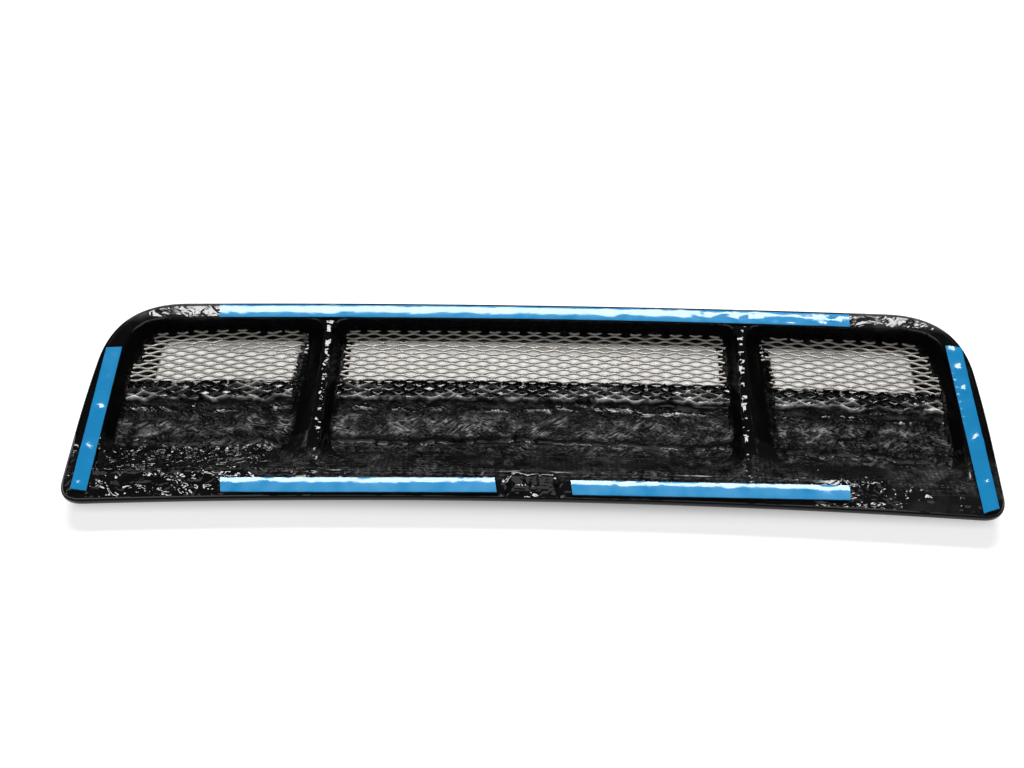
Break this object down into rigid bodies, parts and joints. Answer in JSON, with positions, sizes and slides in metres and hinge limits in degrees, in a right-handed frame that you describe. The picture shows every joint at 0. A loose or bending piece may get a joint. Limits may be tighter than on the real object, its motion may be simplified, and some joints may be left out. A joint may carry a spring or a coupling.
{
  "type": "grille insert",
  "caption": "Wide stick-on grille insert: thin black composite shell with shallow bays, expanded metal mesh over the windows, and taped land seen from the back.",
  "frame": {"origin": "middle of the footprint, on the plane of the outer faces of the bays, which is what the insert lies on", "axes": "+X along the length, to the right as the taped side is seen with its wide edge near; +Y towards the narrower edge; +Z out of the taped side"},
  "size_m": [0.6006, 0.1568, 0.0184],
  "materials": {
    "composite": "hand-laid black woven cloth in glossy resin",
    "mesh": "bare expanded aluminium, satin",
    "resin": "glossy black resin",
    "foam": "matte black closed-cell foam",
    "liner": "glossy blue release film"
  },
  "bodies": {
    "root": {"shell": "composite", "mesh_left": "mesh", "mesh_center": "mesh", "mesh_right": "mesh", "resin_bead_left": "resin", "resin_bead_center": "resin", "resin_bead_right": "resin", "foam_tape_top": "foam", "foam_tape_left": "foam", "foam_tape_right": "foam", "foam_tape_bottom_left": "foam", "foam_tape_bottom_right": "foam", "liner_top": "liner", "liner_left": "liner", "liner_right": "liner", "liner_bottom_left": "liner", "liner_bottom_right": "liner"}
  },
  "joints": []
}
